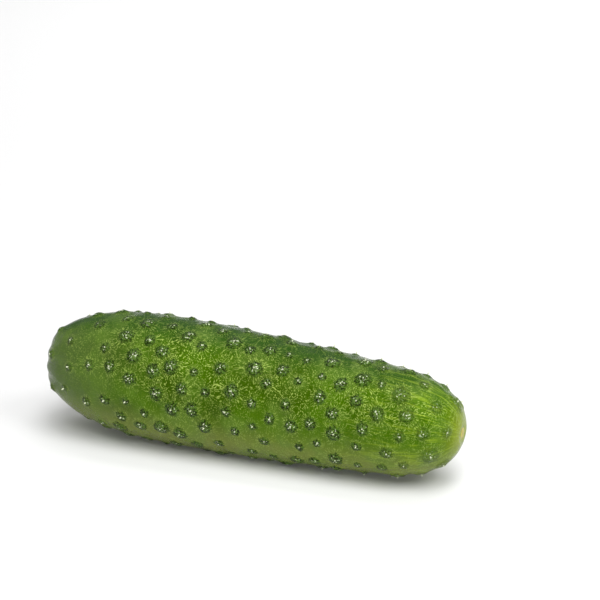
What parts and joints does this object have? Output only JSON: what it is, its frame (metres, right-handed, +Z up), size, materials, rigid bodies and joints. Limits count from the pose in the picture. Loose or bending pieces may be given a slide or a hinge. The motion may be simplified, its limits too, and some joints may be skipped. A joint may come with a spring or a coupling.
{
  "type": "cucumber",
  "caption": "Fresh whole pickling cucumber lying on its side, a short blunt green fruit with a warty skin and a small scar at each end.",
  "frame": {"origin": "on the surface that the fruit lies on, under the middle of its outline", "axes": "+X along the fruit from its stem end to its blossom end, +Z up from the surface"},
  "size_m": [0.1248, 0.0364, 0.0364],
  "materials": {
    "skin": "natural waxy green rind, darker on the warts and paler at the blossom end"
  },
  "bodies": {
    "root": {"cucumber": "skin"}
  },
  "joints": []
}
